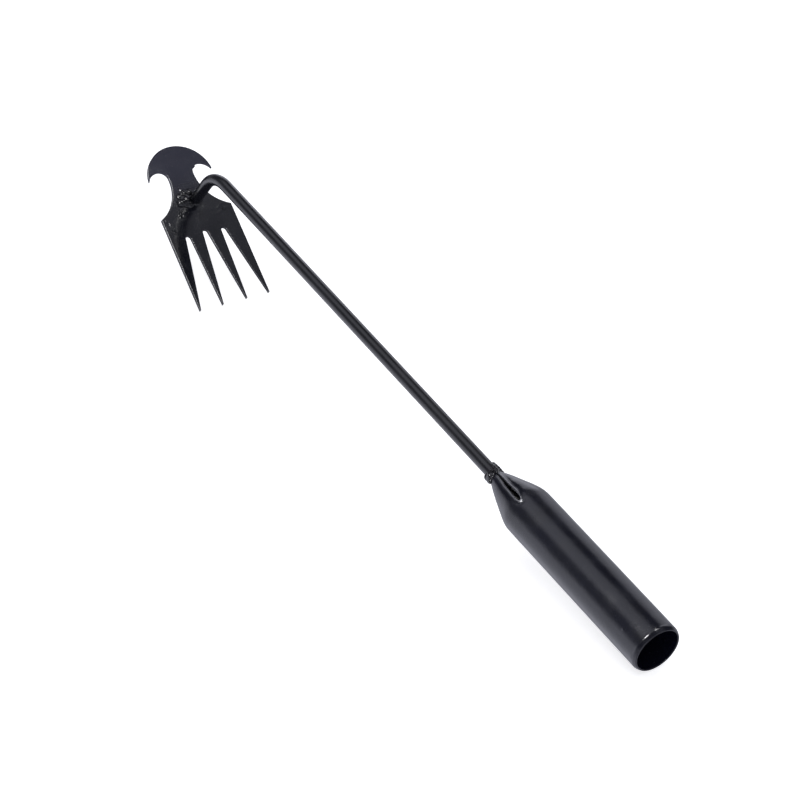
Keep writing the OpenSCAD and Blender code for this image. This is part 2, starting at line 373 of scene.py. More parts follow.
def sag_height(u, v):
    """Height of the runs in the enamel at a point."""
    height = 0.0
    for points, tall, wide in SAGS:
        gap = min(segment_gap((u, v), a, b) for a, b in zip(points, points[1:]))
        height += tall * math.exp(-(gap / wide) ** 2)
    return height


def rounded(depth, radius):
    """Distance of a face from the mid plane at a depth from its edge, rounded to the radius."""
    fall = radius - min(depth, radius)
    return HALF_T - radius + math.sqrt(max(0.0, radius ** 2 - fall ** 2))


def face_height(u, v, depth):
    """Height of the enamel over the plate's mid plane, on the bar's side."""
    height = rounded(depth, TOP_ROUND)
    soft = smooth_step((depth - RELIEF_START) / RELIEF_RUN)
    height += 0.012 * bump((u, v, 0), 0.06, 5.0, 2) * soft
    if -24 < v < 24:
        height += sag_height(u, v) * soft
    for (cu, cv), (hu, hv), tall, waves, seed in ROUGH:
        window = math.exp(-((u - cu) / hu) ** 4 - ((v - cv) / hv) ** 4)
        if window > 0.01:
            height += tall * window * max(-0.25, bump((u, v, 0), waves, seed, 2)) * soft
    return height


def back_height(u, v, depth):
    """Height of the flatter, sharper-edged lower face."""
    soft = smooth_step((depth - RELIEF_START) / RELIEF_RUN)
    hollow = 0.012 * soft * (1 + bump((u, v, 4), 0.08, 9.0, 2)) / 2
    return hollow - rounded(depth, BACK_ROUND)


def wall_points(rim):
    """Rows of points down the cut wall under an outline, dented a little at its middle."""
    points = []
    normal = outline_normals(rim)
    high, low = HALF_T - TOP_ROUND, -(HALF_T - BACK_ROUND)
    for row in range(1, WALL_ROWS + 1):
        share = row / (WALL_ROWS + 1)
        for (u, v), (nu, nv) in zip(rim, normal):
            dent = 0.03 + 0.03 * bump((u * 2.5, v * 2.5, share), 0.8, 2.0)
            dent = max(0.0, dent) * math.sin(math.pi * share)
            points.append((u - nu * dent, v - nv * dent, high + (low - high) * share))
    return points


def plate_wear(u, v, n):
    """Where the enamel is rubbed: the tine tips most, the cutting edge a little."""
    tips = 0.9 * smooth_step((-v - 75.0) / 4.6)
    away = BLADE[2] - math.hypot(u - BLADE[0], v - BLADE[1])
    blade = 0.35 * smooth_step(1 - away / 0.5) if v > BLADE[1] else 0.0
    return max(tips, blade)


def fill_outline(outline):
    """Flat triangles inside the outline: points, triangles, indices of the outline's points."""
    count = len(outline)
    flat = [Vector(p) for p in np.concatenate([outline, interior_points(outline)])]
    ring = [(i, (i + 1) % count) for i in range(count)]
    verts, _, tris, origin, _, _ = delaunay_2d_cdt(flat, ring, [], 0, 1e-5, True)
    place = {old: new for new, olds in enumerate(origin) for old in olds}
    flat = np.array([tuple(v) for v in verts])
    tris = np.array(tris)
    inside = point_in_outline(flat[tris].mean(1), outline)
    return flat, tris[inside].tolist(), [place[i] for i in range(count)]


def build_plate():
    """Upper face, lower face and cut wall of the head plate."""
    outline = plate_outline()
    flat, tris, edge = fill_outline(outline)
    total, count = len(flat), len(edge)
    depth = edge_distance(flat, outline)
    depth[edge] = 0.0
    points = [(u, v, face_height(u, v, d)) for (u, v), d in zip(flat, depth)]
    points += [(u, v, back_height(u, v, d)) for (u, v), d in zip(flat, depth)]
    points += wall_points(flat[edge])
    faces = [tuple(t) for t in tris]
    faces += [tuple(total + i for i in reversed(t)) for t in tris]
    walls = range(2 * total, len(points))
    rings = [edge, *(walls[row * count:(row + 1) * count] for row in range(WALL_ROWS))]
    rings.append([total + i for i in edge])
    for upper, lower in zip(rings, rings[1:]):
        for i in range(count):
            j = (i + 1) % count
            faces.append((upper[i], lower[i], lower[j], upper[j]))
    plate = add_mesh("head_plate_enamel", points, faces, HEAD, sharp=50)
    clean(plate)
    add_values(plate, "wear_and_sheen", [plate_wear(*p) for p in points])
    # Painted reflection: share of the lighter, bluer blade colour, growing towards the blade
    add_values(plate, "blade_painted_sheen", [smooth_step((p[1] + 6) / 30) for p in points])
    add_values(plate, "cut_edge", [float(i in walls) for i in range(len(points))])
    return plate


# ---------------------------------------------------------------- bar

BAR_SIDES = 72
# Keeps the rippled enamel inside the bar's own radius
BAR_INSET = 0.04
# Sawn end of the bar: how far each ring stands out, and its radius
BAR_CAP = ((0.5, BAR_R - 0.5), (0.52, BAR_R * 0.6), (0.5, BAR_R * 0.25))


def bar_stations():
    """Centre, tangent and radius along the bar, in the head frame."""
    stem = Vector((0, -math.sin(STEM_LEAN), math.cos(STEM_LEAN)))
    inward = Vector((0, -math.cos(STEM_LEAN), -math.sin(STEM_LEAN)))
    foot = Vector((BAR_U, 0, 0))
    straight = CORNER_N / math.cos(STEM_LEAN) - SET_BACK
    stations = [(foot + stem * s, stem, 0.0) for s in np.linspace(0.9, straight, 20)[:-1]]
    centre = foot + stem * straight + inward * BEND_R
    for angle in np.linspace(0, BEND_ANGLE, 34):
        point = centre - inward * BEND_R * math.cos(angle) + stem * BEND_R * math.sin(angle)
        tangent = stem * math.cos(angle) + inward * math.sin(angle)
        stations.append((point, tangent, math.sin(math.pi * angle / BEND_ANGLE)))
    last = stations[-1]
    leg = BAR_END - SET_BACK
    for s in np.linspace(0, leg - 0.5, 150)[1:]:
        stations.append((last[0] + last[1] * s, last[1], 0.0))
    return stations


def bar_ring():
    """Cosine and sine of each corner round the bar."""
    angles = [2 * math.pi * k / BAR_SIDES for k in range(BAR_SIDES)]
    return [(math.cos(a), math.sin(a)) for a in angles]


def bar_skin(place):
    """Radius of the bar's enamel: drawn grain along it, and slow dimples."""
    grain = 0.012 * bump((place.x, place.y * 0.25, place.z * 0.25), 0.35, 1.0, 2)
    dimple = 0.02 * bump(place, 0.18, 21.0, 2)
    return BAR_R + grain + dimple - BAR_INSET


def build_bar():
    """Bent bar with a slightly flattened bend and a sawn end inside the socket."""
    points = []
    stations = bar_stations()
    across = Vector((1, 0, 0))
    for centre, tangent, bend in stations:
        outward = tangent.cross(across)
        wide, deep = 1 + 0.006 * bend, 1 - 0.016 * bend
        for c, s in bar_ring():
            r = bar_skin(centre + across * (BAR_R * c) + outward * (BAR_R * s))
            points.append(centre + across * (r * wide * c) + outward * (r * deep * s))
    centre, tangent, _ = stations[-1]
    outward = tangent.cross(across)
    for push, r in BAR_CAP:
        for c, s in bar_ring():
            saw = 0.04 * math.sin(9 * r * s)
            points.append(centre + tangent * (push + saw) + across * (r * c) + outward * (r * s))
    rows = len(stations) + len(BAR_CAP)
    faces = ring_faces(rows, BAR_SIDES)
    faces.append(tuple(range(BAR_SIDES - 1, -1, -1)))
    faces.append(tuple(range((rows - 1) * BAR_SIDES, rows * BAR_SIDES)))
    bar = add_mesh("bent_bar_enamel", points, faces, HEAD, sharp=38)
    clean(bar, merge=True)
    return bar


# ---------------------------------------------------------------- socket tube

# Softening of the shoulder where the crown meets the straight tube
SHOULDER_SOFT = 0.35
# Raised lip along the seams: distance of its crest from the seam, height, half width
LIP_OFF, LIP_TALL, LIP_WIDE = 0.5, 0.36, 0.5
# Trough behind the lip
TROUGH_OFF, TROUGH_DEEP, TROUGH_WIDE = 2.4, 0.2, 1.0
# Keeps the uneven skin inside the tube's own radius
SKIN_INSET = 0.03
# Specks under the enamel near the mouth: station, degrees from the first seam, height, half width
NIBS = (
    (487.2, 25.4, 0.34, 0.5),
    (489.3, -3.4, 0.30, 0.5),
    (491.6, -1.2, 0.18, 0.5),
    (487.9, -6.8, 0.16, 0.45),
    (468.0, -24.0, 0.08, 0.6),
)
PETAL_COLUMNS = 92
# Bevel that turns the mouth in: its angle, the radius of its shoulder and the length of its slope
RIM_BEVEL, RIM_SOFT, RIM_SLOPE = math.radians(25), 3.0, 1.5
RIM_R = TUBE_R - RIM_SOFT * (1 - math.cos(RIM_BEVEL)) - RIM_SLOPE * math.sin(RIM_BEVEL)
RIM_NOSE = (RIM_R - TUBE_R + WALL) / (1 + math.cos(RIM_BEVEL))
RIM_LENGTH = (
    (RIM_SOFT - RIM_NOSE) * math.sin(RIM_BEVEL) + RIM_SLOPE * math.cos(RIM_BEVEL) + RIM_NOSE
)
RIM_START = MOUTH - RIM_LENGTH
# The tube's own weld ridge inside the bore: degrees from the first seam, height, half width
BORE_RIDGE, RIDGE_TALL, RIDGE_WIDE = 118.0, 0.22, 0.8


def crown_centre():
    """Centre of the crown's bulge in the tube's (radius, length) plane."""
    length, drop = CROWN_END - CROWN_START, TUBE_R - CROWN_TIP_R
    chord = math.hypot(length, drop)
    rise = math.sqrt(CROWN_BULGE ** 2 - chord ** 2 / 4)
    return (
        (TUBE_R + CROWN_TIP_R) / 2 - rise * length / chord,
        (CROWN_START + CROWN_END) / 2 + rise * drop / chord,
    )


CROWN = crown_centre()


def tube_radius(s, inset=0.0):
    """Radius of the tube's outer skin, or of one inset from it, with a softened shoulder."""
    if s > CROWN_END + 6:
        return TUBE_R - inset
    bulge = CROWN_BULGE - inset
    arc_r = CROWN[0] + math.sqrt(bulge ** 2 - (s - CROWN[1]) ** 2)
    full = TUBE_R - inset
    gap = (full - arc_r) / SHOULDER_SOFT
    r = full if gap < -6 else full - SHOULDER_SOFT * math.log1p(math.exp(min(gap, 40)))
    return max(r, BAR_R + 0.05)


def seam_half(s):
    """Half width of the open seam at a station, 0 beyond its end."""
    if s > SEAM_END:
        return 0.0
    return float(np.interp(s, *zip(*SEAM_HALF)))


def seam_gap(r, s, turn):
    """Distance of a surface point from the nearest seam's edge; turn is degrees from seam one."""
    off = min(abs((turn + 180) % 360 - 180), abs(turn % 360 - 180))
    side = math.radians(off) * r - seam_half(min(s, SEAM_END))
    return math.hypot(max(0.0, side), max(0.0, s - SEAM_END))


def tube_wear_and_sheen(r, s, turn):
    """Enamel rubbed thin and grey on the seams' lips, most of all round their lower end; the grey
    also stands as painted highlight along the lips and at their lower end.
    """
    gap = seam_gap(r, s, turn)
    fade = smooth_step((s - CROWN_START) / 5)
    # Painted highlight as well as wear: a light grey patch round the lower end of each seam
    end = 0.5 * smooth_step((s - SEAM_END + 1.5) / 2) * smooth_step((SEAM_END + 3 - s) / 2)
    return fade * min(1.0, math.exp(-((gap - LIP_OFF) / (LIP_WIDE + end)) ** 2) + 0.5 * end)


def tube_lift(r, s, turn):
    """How far the outer skin stands off the plain profile: lips, hammered crown, paint nibs."""
    gap = seam_gap(r, s, turn)
    fade = smooth_step((s - CROWN_START) / 4)
    lip = LIP_TALL * math.exp(-((gap - LIP_OFF) / LIP_WIDE) ** 2) * fade
    lip *= 1 - 0.6 * smooth_step((s - SEAM_END + 3) / 3)
    trough = -TROUGH_DEEP * math.exp(-((gap - TROUGH_OFF) / TROUGH_WIDE) ** 2) * fade
    crown = smooth_step((CROWN_END + 12 - s) / 10)
    a = math.radians(turn)
    spot = (math.cos(a) * r, math.sin(a) * r, s)
    hammer = 0.10 * bump(spot, 0.13, 13.0, 2) * crown
    wave = 0.026 * bump(spot, 0.2, 17.0, 2)
    lift = lip + trough + hammer + wave - SKIN_INSET
    for nib_s, nib_turn, tall, wide in NIBS:
        away = math.hypot(s - nib_s, math.radians(turn - nib_turn) * r)
        lift += tall * math.exp(-(away / wide) ** 2)
    return lift


def outer_stations():
    """Rows along the outer skin, closest together in the crown and round the specks."""
    crown = np.linspace(CROWN_START, SEAM_END - 0.01, 70)
    end = np.array([SEAM_END + 0.01])
    near = np.linspace(SEAM_END + 0.4, 388, 22)
    tube = np.concatenate([np.arange(390, 484, 2.4), np.arange(484, 494, 0.42)])
    rest = np.linspace(494.4, RIM_START - 0.02, 6)
    return list(np.concatenate([crown, end, near, tube, rest]))


def inner_stations():
    """Rows along the bore's skin, from the mouth back to the crown's tips."""
    return list(np.concatenate([
        np.linspace(MOUTH - 1.2, 390, 30),
        np.linspace(388, SEAM_END + 0.01, 10),
        np.linspace(SEAM_END - 0.01, CROWN_START, 40),
    ]))


def petal_turns(s, r):
    """Degrees from the first seam for each column of a petal, closer together at its edges."""
    open_angle = math.degrees(math.asin(min(0.9, seam_half(s) / r)))
    turns = []
    for j in range(PETAL_COLUMNS):
        t = j / (PETAL_COLUMNS - 1)
        t -= 0.72 * math.sin(2 * math.pi * t) / (2 * math.pi)
        turns.append(open_angle + (180 - 2 * open_angle) * t)
    return turns


def tube_point(r, turn, s):
    """Point of the bar frame at a turn from the first seam, which lies SEAM_ANGLE off the top."""
    a = math.radians(turn + SEAM_ANGLE + float(np.interp(s, *zip(*SEAM_SWAY))))
    return (-r * math.sin(a), r * math.cos(a), s)


def rim_profile():
    """Bevelled end from the outer skin over its soft shoulder into the bore: radius, station."""
    shoulder = [(TUBE_R - RIM_SOFT * (1 - math.cos(a)), RIM_START + RIM_SOFT * math.sin(a))
                for a in np.linspace(0, RIM_BEVEL, 9)]
    r, s = shoulder[-1]
    slope = [(r - step * math.sin(RIM_BEVEL), s + step * math.cos(RIM_BEVEL))
             for step in np.linspace(0, RIM_SLOPE, 4)[1:]]
    middle_r, middle_s = TUBE_R - WALL + RIM_NOSE, MOUTH - RIM_NOSE
    nose = [(middle_r + RIM_NOSE * math.cos(a), middle_s + RIM_NOSE * math.sin(a))
            for a in np.linspace(RIM_BEVEL, math.pi, 11)[1:]]
    return shoulder + slope + nose


def outer_row(s, half):
    """One row round a petal's outer skin."""
    r = tube_radius(s)
    return [(r + tube_lift(r, s, t + half), t + half, s) for t in petal_turns(s, r)]


def rim_row(r, s, half):
    """One row round the mouth, with a slight burr on its last fraction of a millimetre."""
    rough = 0.0 if s < MOUTH - 0.3 else 0.03
    row = []
    for t in petal_turns(s, r):
        a = math.radians(t + half)
        burr = rough * bump((math.cos(a) * r, math.sin(a) * r, 0), 0.9, 31.0)
        row.append((r - SKIN_INSET, t + half, s - max(0.0, burr)))
    return row


def bore_row(s, half):
    """One row round a petal's bore, with the tube's own weld ridge."""
    r = tube_radius(s, WALL)
    row = []
    for t in petal_turns(s, r):
        off = math.radians((t + half - BORE_RIDGE + 180) % 360 - 180) * r
        ridge = RIDGE_TALL * math.exp(-(off / RIDGE_WIDE) ** 2) * smooth_step((MOUTH - s) / 1.5)
        row.append((r - ridge, t + half, s))
    return row


def petal_rows(half):
    """Rows of (radius, turn, station) over one half of the tube: outer skin, rim, bore skin."""
    rows = [outer_row(s, half) for s in outer_stations()]
    rows += [rim_row(r, s, half) for r, s in rim_profile()]
    return rows + [bore_row(s, half) for s in inner_stations()]


def petal_wear_and_sheen(half, total):
    """Wear and painted highlight of each point of a petal with a total count of points; only the
    outer skin has any.
    """
    wear_and_sheen = []
    for s in outer_stations():
        r = tube_radius(s)
        wear_and_sheen += [tube_wear_and_sheen(r, s, t + half) if s < SEAM_END + 5 else 0.0 for t in petal_turns(s, r)]
    return wear_and_sheen + [0.0] * (total - len(wear_and_sheen))


def build_tube():
    """Socket tube as two petals that meet in the straight part and part along the seams."""
    points, faces, wear_and_sheen = [], [], []
    seam_rows = [i for i, s in enumerate(outer_stations()) if s <= SEAM_END + 0.011]
    for half in (0, 180):
        rows = petal_rows(half)
        start, count = len(points), len(rows)
        points += [tube_point(*cell) for row in rows for cell in row]
        wear_and_sheen += petal_wear_and_sheen(half, count * PETAL_COLUMNS)
        faces += ring_faces(count, PETAL_COLUMNS, False, start)
        faces += seam_walls(rows, seam_rows, start)
    tube = add_mesh("socket_tube_enamel", points, faces, BAR, sharp=42)
    # The wear stored on the tube includes painted highlight on the seams' lips
    add_values(tube, "wear_and_sheen", wear_and_sheen)
    clean(tube, merge=True)
    return tube


def seam_walls(rows, seam_rows, start):
    """Walls of the open seams and the end of the crown, between the outer and the bore skin."""
    faces = []
    columns, count = PETAL_COLUMNS, len(rows)
    outer_s = [rows[i][0][2] for i in seam_rows]
    inner_rows = [i for i in range(count - 1, 0, -1) if rows[i][0][2] <= SEAM_END + 0.011]
    inner_rows = [i for i in inner_rows if i > max(seam_rows)]
    inner_s = [rows[i][0][2] for i in inner_rows]
    for column in (0, columns - 1):
        a, b = 0, 0
        while a < len(seam_rows) - 1 or b < len(inner_rows) - 1:
            outer = start + seam_rows[a] * columns + column
            inner = start + inner_rows[b] * columns + column
            step_outer = b == len(inner_rows) - 1 or (
                a < len(seam_rows) - 1 and outer_s[a + 1] <= inner_s[b + 1]
            )
            if step_outer:
                a += 1
                third = start + seam_rows[a] * columns + column
            else:
                b += 1
                third = start + inner_rows[b] * columns + column
            faces.append((outer, inner, third))
    tip_out, tip_in = start, start + (count - 1) * columns
    for j in range(columns - 1):
        faces.append((tip_out + j, tip_in + j, tip_in + j + 1, tip_out + j + 1))
    return faces


# ---------------------------------------------------------------- welds

VOXEL = 0.2


def melted_drops(name, drops):
    """Mesh of drops (centre, radii, turn about the third axis) run together and softened."""
    work = bmesh.new()
    for centre, radii, turn in drops:
        place = Matrix.Translation(centre) @ Matrix.Rotation(math.radians(turn), 4, "Z")
        size = Matrix.Diagonal((*radii, 1))
        bmesh.ops.create_icosphere(work, subdivisions=4, radius=1.0, matrix=place @ size)
    mesh = bpy.data.meshes.new(name + "_raw")
    work.to_mesh(mesh)
    work.free()
    raw = bpy.data.objects.new(name + "_raw", mesh)
    bpy.context.scene.collection.objects.link(raw)
    remesh = raw.modifiers.new("melt", "REMESH")
    remesh.mode = "VOXEL"
    remesh.voxel_size = VOXEL
    soft = raw.modifiers.new("soften", "SMOOTH")
    soft.factor, soft.iterations = 0.6, 7
    graph = bpy.context.evaluated_depsgraph_get()
    made = bpy.data.meshes.new_from_object(raw.evaluated_get(graph))
    bpy.data.objects.remove(raw)
    made.name = name
    return made


def melt(name, drops, matrix, ripple, waves, seed, cut=None):
    """Weld bead of melted drops with a ripple on it, cut flat below a plane (point, normal)."""
    made = melted_drops(name, drops)
    work = bmesh.new()
    work.from_mesh(made)
    for vert in work.verts:
        vert.co += vert.normal * ripple * bump(vert.co, waves, seed, 1)
    if cut:
        point, normal = cut
        cut_edges = bmesh.ops.bisect_plane(
            work, geom=work.verts[:] + work.edges[:] + work.faces[:],
            plane_co=point, plane_no=normal, clear_inner=True,
        )["geom_cut"]
        rim = [e for e in cut_edges if isinstance(e, bmesh.types.BMEdge)]
        bmesh.ops.holes_fill(work, edges=rim)
    bmesh.ops.recalc_face_normals(work, faces=work.faces)
    work.to_mesh(made)
    work.free()
    made.transform(matrix)
    return add_object(name, made)


def build_head_bead():
    """Lumpy bead on the near side of the bar's foot: big drops first, then the small lumps."""
    drops = (
        ((-4.6, 0.6, 0.1), (5.3, 5.2, 4.1), 10),
        ((-8.4, -0.5, 1.0), (3.8, 3.3, 3.0), 0),
        ((-7.8, 4.2, 0.3), (3.0, 3.0, 2.6), 30),
        ((-4.0, 5.8, 0.0), (3.4, 3.4, 2.9), 0),
        ((0.3, 6.2, -0.4), (3.3, 3.1, 2.9), 20),
        ((-2.6, -2.6, 0.2), (3.6, 3.5, 3.3), 0),
        ((-5.4, -3.0, 1.0), (2.2, 1.7, 2.0), 40),
        ((-4.7, 7.2, 1.0), (1.5, 1.3, 1.7), 0),
        ((-8.8, 5.6, 0.4), (1.5, 1.5, 1.5), 0),
        ((-2.4, -4.6, 1.4), (1.9, 1.3, 1.3), 20),
    )
    return melt(
        "head_weld_bead_enamel", drops, HEAD, ripple=0.03, waves=0.30, seed=4.0,
        cut=((0, 0, HALF_T - 0.25), (0, 0, 1)),
    )


# The fillet runs round the foot from its start angle over its sweep, in degrees
FILLET_START, FILLET_SWEEP = -152, 266
FILLET_LEG, FILLET_RISE, FILLET_UNEVEN = 1.75, 1.7, 0.4


def fillet_section(a, scale, count):
    """Concave strip from the plate up the bar at one angle, closed by a point inside the metal."""
    spot = (math.cos(a) * 4, math.sin(a) * 4)
    leg = FILLET_LEG + FILLET_UNEVEN * bump((*spot, 0), 0.6, 6.0)
    rise = FILLET_RISE + FILLET_UNEVEN * bump((*spot, 9), 0.6, 8.0)
    section = []
    for j in range(count):
        p = j / (count - 1) * math.pi / 2
        reach = leg * scale * (1 - math.sin(p) * 0.98) + 0.02
        lift = rise * scale * (1 - math.cos(p) * 0.98) - 0.15
        section.append((BAR_R - 0.1 + reach, HALF_T + lift))
    section.append((BAR_R - 0.6, HALF_T - 0.2))
    return [(BAR_U + r * math.cos(a), r * math.sin(a), n) for r, n in section]


def build_fillet():
    """Thin weld line round the rest of the foot, with a wandering toe."""
    steps, profile = 120, 9
    points = []
    for i in range(steps):
        a = math.radians(FILLET_START) + math.radians(FILLET_SWEEP) * (i / (steps - 1))
        points += fillet_section(a, 1 + 0.05 * math.sin(i * 0.9), profile)
    columns = profile + 1
    faces = ring_faces(steps, columns)
    faces.append(tuple(range(columns)))
    faces.append(tuple(range((steps - 1) * columns, steps * columns)))
    fillet = add_mesh("head_weld_fillet_enamel", points, faces, HEAD, sharp=60)
    clean(fillet, merge=True)
    return fillet


def on_bar(angle, s, off):
    """Point of the bar frame at an angle from the top towards the near side."""
    a = math.radians(angle)
    return (-off * math.sin(a), off * math.cos(a), s)


def build_neck_upper():
    """Long bead on the crown's far side, and the row of small ripples along the seam's start."""
    drops = []
    for i, size in enumerate((1.55, 1.85, 1.9, 1.85, 1.75)):
        station = 336.6 + 2.1 * i
        drops.append((on_bar(-40, station, 3.85), (size, size, size * 1.3), 0))
        drops.append((on_bar(-12, station + 0.6, 3.35), (size, size, size * 1.25), 0))
    for i, size in enumerate((0.85, 0.8, 0.75, 0.85, 0.7)):
        spot = on_bar(30 - 5.5 * i, 340.4 + 1.5 * i, 4.55 + 0.16 * i)
        drops.append((spot, (size, size, size * 0.8), 0))
    return melt("neck_weld_upper_enamel", drops, BAR, ripple=0.08, waves=0.55, seed=14.0)


def build_neck_lower():
    """Round blob on the crown's near side with a few drops frozen on it."""
    drops = [(on_bar(103, 341.2 + 2.6 * i, 3.8), (2.7, 2.7, 2.7), 0) for i in range(2)]
    drops += [
        (on_bar(80, 343.4, 2.5), (3.85, 3.85, 3.9), 0),
        (on_bar(66, 342.9, 5.1), (1.4, 1.3, 1.3), 0),
        (on_bar(56, 345.3, 5.1), (1.1, 1.1, 1.2), 0),
        (on_bar(92, 345.4, 5.2), (1.5, 1.4, 1.4), 0),
    ]
    return melt("neck_weld_lower_enamel", drops, BAR, ripple=0.10, waves=0.5, seed=24.0)


# Stray drops on the plate: u, v, radius
SPATTER = (
    (-11.3, -10.6, 1.95), (-12.6, -8.7, 1.3), (2.1, -11.1, 0.8),
    (20.2, -11.7, 1.15), (-22.8, -18.5, 0.8), (7.7, -27.0, 0.7),
)


GRIT_SEED, GRIT_TRIES = 11, 12


def build_spatter():
    """Stray drops stuck to the plate, each with a small skirt, and fine grit round the weld."""
    rng = random.Random(GRIT_SEED)
    drops = [(u, v, r, 0.35) for u, v, r in SPATTER]
    for _ in range(GRIT_TRIES):
        a, far = rng.uniform(0, 2 * math.pi), rng.uniform(9.5, 17)
        u, v = -3 + far * math.cos(a), 0.5 + far * math.sin(a)
        waist = 9.7 + max(0.0, 0.06 * (14 - v) ** 1.6) - 1.5
        if abs(u) < min(waist, 26):
            drops.append((u, v, rng.uniform(0.14, 0.28), 0.1))
    points, faces = [], []
    for u, v, r, stand in drops:
        add_drop(points, faces, u, v, r, stand)
    return add_mesh("weld_spatter_enamel", points, faces, HEAD)


def add_drop(points, faces, u, v, r, stand):
    """One dome with a concave skirt, closed just under the face."""
    sides, rows = 28, 12
    low = math.acos(min(1.0, -stand)) * 0.86
    profile = [(r * math.sin(low * k / rows), r * (stand + math.cos(low * k / rows)))
               for k in range(1, rows + 1)]
    foot_r, foot_n = profile[-1]
    profile += [
        (foot_r + 0.06 * r, foot_n * 0.45),
        (foot_r + 0.17 * r, foot_n * 0.16),
        (foot_r + 0.34 * r, 0.0),
        (foot_r + 0.34 * r, -0.15),
    ]
    start = len(points)
    points.append((u, v, HALF_T + r * (1 + stand)))
    for pr, pn in profile:
        for k in range(sides):
            a = 2 * math.pi * k / sides
            swell = 1 + 0.08 * bump((u + math.cos(a), v + math.sin(a), pn), 0.7, 19.0)
            points.append((u + pr * swell * math.cos(a), v + pr * swell * math.sin(a), HALF_T + pn))
    faces += [(start, start + 1 + k, start + 1 + (k + 1) % sides) for k in range(sides)]
    faces += ring_faces(len(profile), sides, True, start + 1)
    faces.append(tuple(start + 1 + (len(profile) - 1) * sides + k for k in reversed(range(sides))))


# ---------------------------------------------------------------- materials

def feed(tree, socket_in, value):
    """Links an output to an input, or sets the input to a plain value."""
    if isinstance(value, bpy.types.NodeSocket):
        tree.links.new(value, socket_in)
    else:
        socket_in.default_value = value


def node(tree, kind, **inputs):
    """Adds a shader node; inputs are fed by socket name."""
    made = tree.nodes.new(kind)
    for name, value in inputs.items():
        feed(tree, made.inputs[name], value)
    return made


def vertex_value(tree, name):
    """The number stored under a name on each vertex."""
    made = tree.nodes.new("ShaderNodeAttribute")
    made.attribute_name = name
    return made.outputs["Fac"]


def ramp(tree, value, low, high, to_low=0.0, to_high=1.0):
    """Maps value from low..high to to_low..to_high with a smooth step."""
    made = tree.nodes.new("ShaderNodeMapRange")
    made.interpolation_type = "SMOOTHSTEP"
    tree.links.new(value, made.inputs["Value"])
    for name, number in (("From Min", low), ("From Max", high),
                         ("To Min", to_low), ("To Max", to_high)):
        made.inputs[name].default_value = number
    return made.outputs["Result"]


def math_node(tree, operation, *values):
    """One step of arithmetic on outputs or plain numbers."""
    made = tree.nodes.new("ShaderNodeMath")
    made.operation = operation
    for socket_in, value in zip(made.inputs, values):
        feed(tree, socket_in, value)
    return made.outputs[0]


def blend_colour(tree, share, a, b):
    """Mixes two colours, each an output or an (r, g, b) triple."""
    made = tree.nodes.new("ShaderNodeMix")
    made.data_type = "RGBA"
    tree.links.new(share, made.inputs["Factor"])
    for socket_in, value in zip((made.inputs[6], made.inputs[7]), (a, b)):
        feed(tree, socket_in, (*value, 1) if isinstance(value, tuple) else value)
    return made.outputs[2]


def pattern(tree, coords, scale, detail=2.0, stretch=(1, 1, 1), offset=(0, 0, 0)):
    """Noise in the row frame's coordinates; scale is in waves per metre."""
    place = tree.nodes.new("ShaderNodeMapping")
    place.inputs["Scale"].default_value = stretch
    place.inputs["Location"].default_value = offset
    tree.links.new(coords, place.inputs["Vector"])
    made = node(
        tree, "ShaderNodeTexNoise", Scale=scale, Detail=detail, Vector=place.outputs["Vector"],
    )
    return made.outputs["Fac"]


# Grey of bare steel; on the tube's seam lips it also serves as painted highlight
STEEL_AND_SHEEN = (0.23, 0.23, 0.24)
DUST = (0.055, 0.055, 0.06)
ENAMEL_IOR = 1.5


def enamel_colour(tree, coords, deep, pale, blade_sheen_colour):
    """Clouds between the deep and the pale black, a painted reflection that turns the plate lighter
    and bluer towards the blade, specks of dust.
    """
    cloud = ramp(tree, pattern(tree, coords, 45, 4), 0.35, 0.68)
    colour = blend_colour(tree, cloud, deep, pale)
    if blade_sheen_colour:
        # Painted reflection: the plate turns lighter and bluer towards the blade
        colour = blend_colour(tree, vertex_value(tree, "blade_painted_sheen"), colour, blade_sheen_colour)
    dust = ramp(tree, pattern(tree, coords, 1300, 1, offset=(3, 1, 2)), 0.70, 0.78, 0, 0.5)
    return blend_colour(tree, dust, colour, DUST)


def enamel_gloss(tree, coords, rough, matt_walls):
    """Roughness with haze and fine streaks; the plate's cut walls are nearly matt."""
    haze = ramp(tree, pattern(tree, coords, 70, 3, offset=(5, 5, 5)), 0.3, 0.7)
    streak = ramp(tree, pattern(tree, coords, 500, 2, (0.08, 1, 1)), 0.55, 0.8)
    gloss = math_node(tree, "MULTIPLY_ADD", haze, rough * 0.45, rough * 0.8)
    gloss = math_node(tree, "ADD", gloss, math_node(tree, "MULTIPLY", streak, 0.035))
    if matt_walls:
        matt = math_node(tree, "MULTIPLY", vertex_value(tree, "cut_edge"), 0.65)
        gloss = math_node(tree, "ADD", gloss, matt)
    return gloss


def enamel_relief(tree, coords, peel):
    """Orange peel: a fine and a slow waviness of the surface."""
    fine_peel = pattern(tree, coords, 620, 2, offset=(1, 7, 3))
    slow_peel = pattern(tree, coords, 170, 2, offset=(9, 2, 6))
    skin = math_node(tree, "ADD", math_node(tree, "MULTIPLY", fine_peel, 0.35), slow_peel)
    return node(tree, "ShaderNodeBump", Strength=peel, Distance=0.0006, Height=skin)


